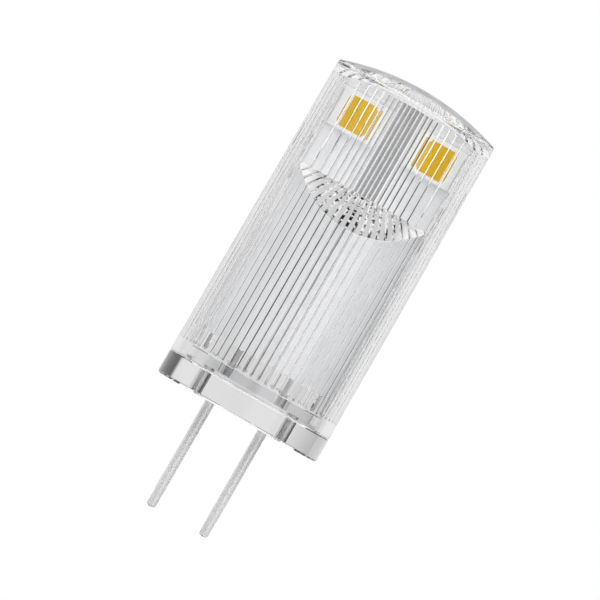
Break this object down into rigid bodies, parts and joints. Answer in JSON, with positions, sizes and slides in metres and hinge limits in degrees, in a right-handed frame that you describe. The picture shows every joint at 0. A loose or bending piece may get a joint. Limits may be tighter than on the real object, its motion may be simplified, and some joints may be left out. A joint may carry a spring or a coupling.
{
  "type": "bi-pin led bulb",
  "caption": "Clear capsule LED bulb: domed cover with a ridged bore, white board with yellow LEDs inside, base plug with round contact pins.",
  "frame": {"origin": "midway between the two pins, on the flat underside of the base flange", "axes": "+Z along the lamp axis from the pins to the dome, +X from the left pin to the right pin, -Y towards the viewer of the front LEDs"},
  "size_m": [0.012, 0.012, 0.033],
  "materials": {
    "clear_plastic": "clear polished polycarbonate",
    "pin_metal": "drawn wire, bright tinned",
    "solder": "bright reflowed solder",
    "board_white": "white solder mask on glass-fibre board",
    "led_housing": "white moulded cup",
    "phosphor": "yellow phosphor in silicone",
    "terminal_metal": "silver plated",
    "driver_black": "black moulding compound",
    "capacitor_ceramic": "tan fired ceramic",
    "resistor_glaze": "dark glaze over white ceramic"
  },
  "bodies": {
    "root": {"base_plug": "clear_plastic", "capacitor_body": "capacitor_ceramic", "capacitor_ends": "terminal_metal", "circuit_board": "board_white", "cover": "clear_plastic", "led_front_left_anode": "terminal_metal", "led_front_left_cathode": "terminal_metal", "led_front_left_housing": "led_housing", "led_front_left_phosphor": "phosphor", "led_front_right_anode": "terminal_metal", "led_front_right_cathode": "terminal_metal", "led_front_right_housing": "led_housing", "led_front_right_phosphor": "phosphor", "led_rear_left_anode": "terminal_metal", "led_rear_left_cathode": "terminal_metal", "led_rear_left_housing": "led_housing", "led_rear_left_phosphor": "phosphor", "led_rear_right_anode": "terminal_metal", "led_rear_right_cathode": "terminal_metal", "led_rear_right_housing": "led_housing", "led_rear_right_phosphor": "phosphor", "pin_left": "pin_metal", "pin_right": "pin_metal", "rectifier_body": "driver_black", "rectifier_leads": "terminal_metal", "regulator_body": "driver_black", "regulator_leads": "terminal_metal", "resistor_body": "resistor_glaze", "resistor_ends": "terminal_metal", "solder_joint_left": "solder", "solder_joint_right": "solder"}
  },
  "joints": []
}
